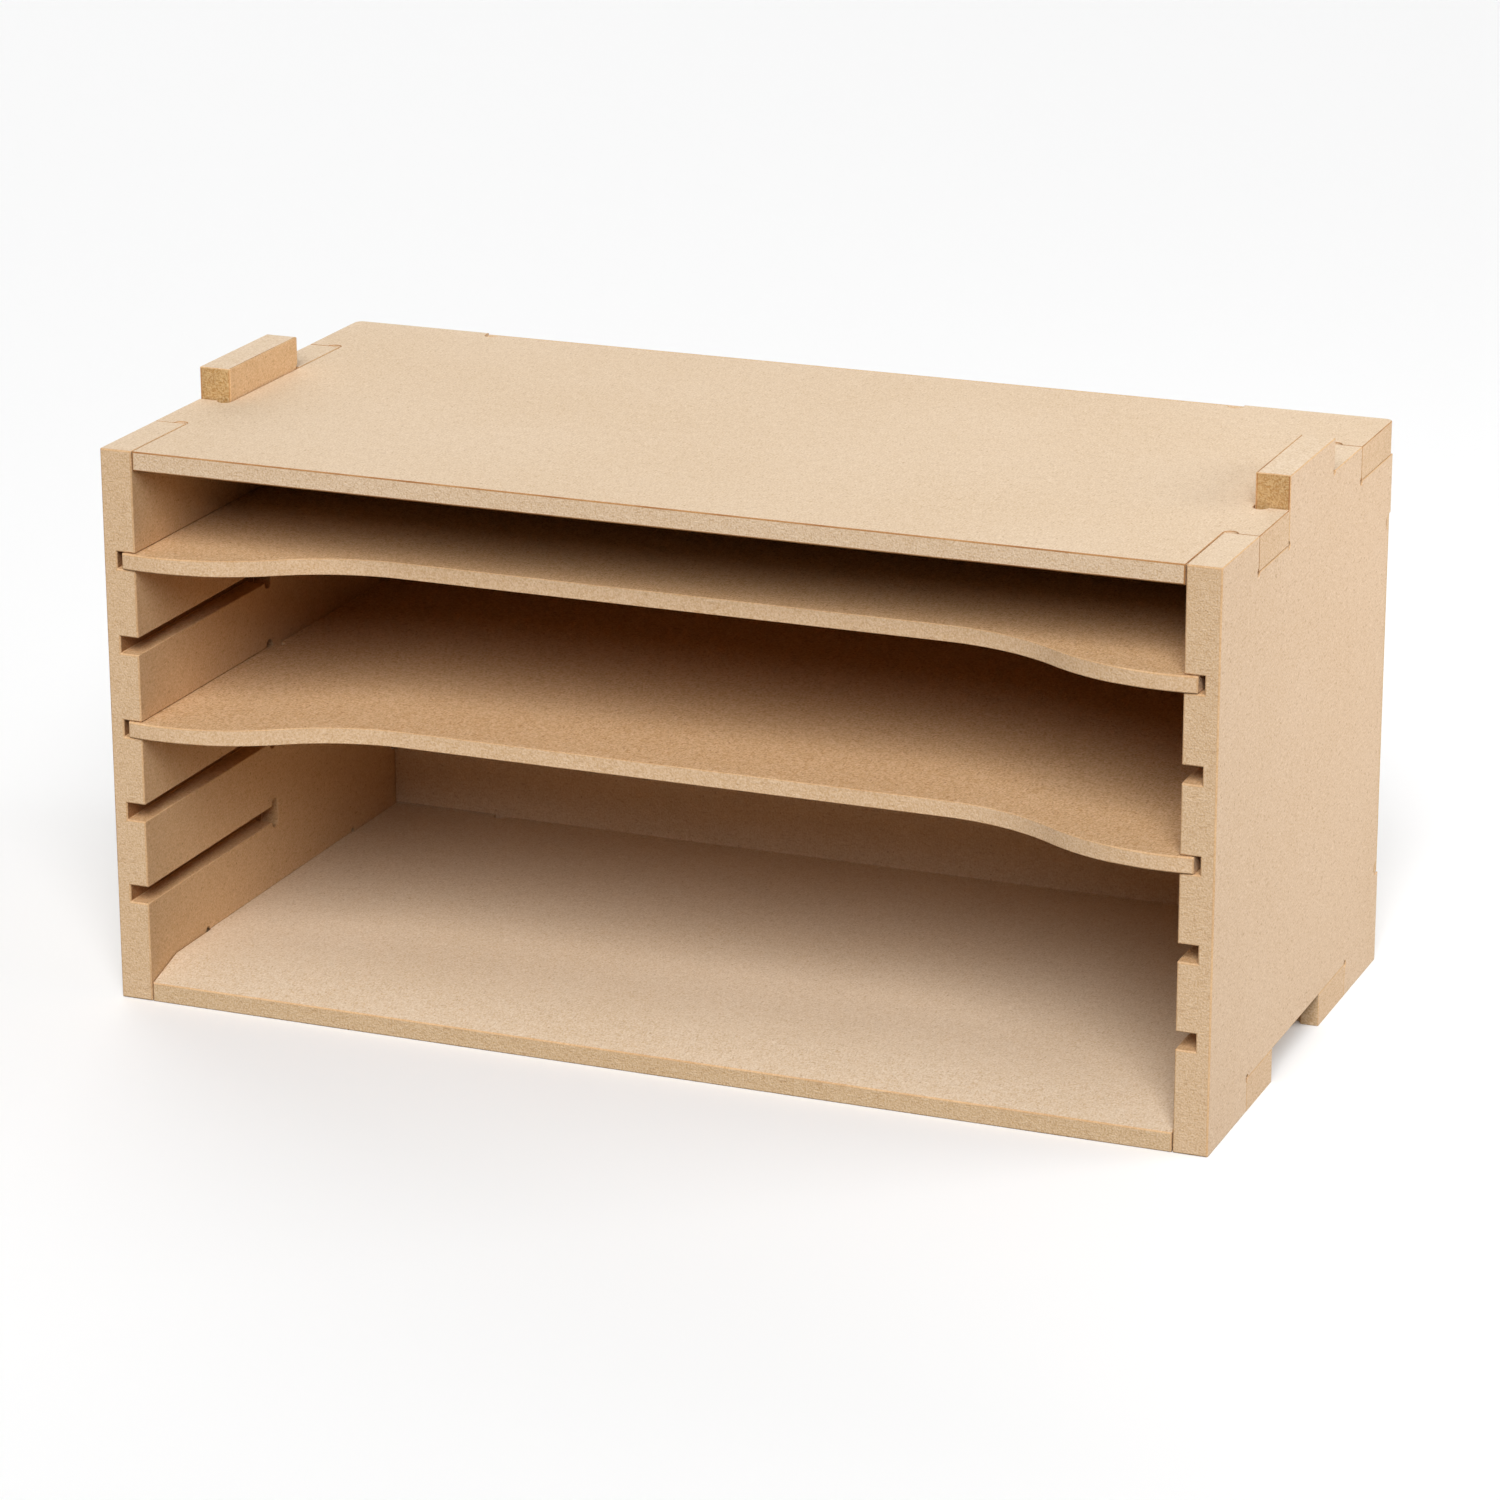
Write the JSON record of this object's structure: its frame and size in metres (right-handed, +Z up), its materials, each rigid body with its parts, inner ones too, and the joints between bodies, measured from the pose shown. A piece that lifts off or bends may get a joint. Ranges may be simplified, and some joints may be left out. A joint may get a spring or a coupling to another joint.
{
  "type": "stackable storage case",
  "caption": "Open-fronted fibreboard case with pull-out shelves in side grooves and tabs for stacking, for paints and modelling tools.",
  "frame": {"origin": "under the middle of the object's bounding box, on the surface it stands on", "axes": "+Z up, the open front faces -Y, +X to the right seen from the front"},
  "size_m": [0.4, 0.2012, 0.2115],
  "materials": {
    "carcass_board": "raw 12 mm fibreboard, sanded faces and sawn edges",
    "shelf_board": "raw 6 mm fibreboard, routed edges",
    "back_sheet": "raw 3 mm fibreboard sheet"
  },
  "bodies": {
    "case": {"left_side": "carcass_board", "right_side": "carcass_board", "top_board": "carcass_board", "bottom_board": "carcass_board", "back_panel": "back_sheet"},
    "upper_shelf": {"upper_shelf": "shelf_board"},
    "lower_shelf": {"lower_shelf": "shelf_board"}
  },
  "joints": [
    {"name": "upper_shelf_slide", "type": "slide", "parent": "case", "child": "upper_shelf", "axis": [0, -1, 0], "range_m": [0, 0.205]},
    {"name": "lower_shelf_slide", "type": "slide", "parent": "case", "child": "lower_shelf", "axis": [0, -1, 0], "range_m": [0, 0.205]}
  ]
}
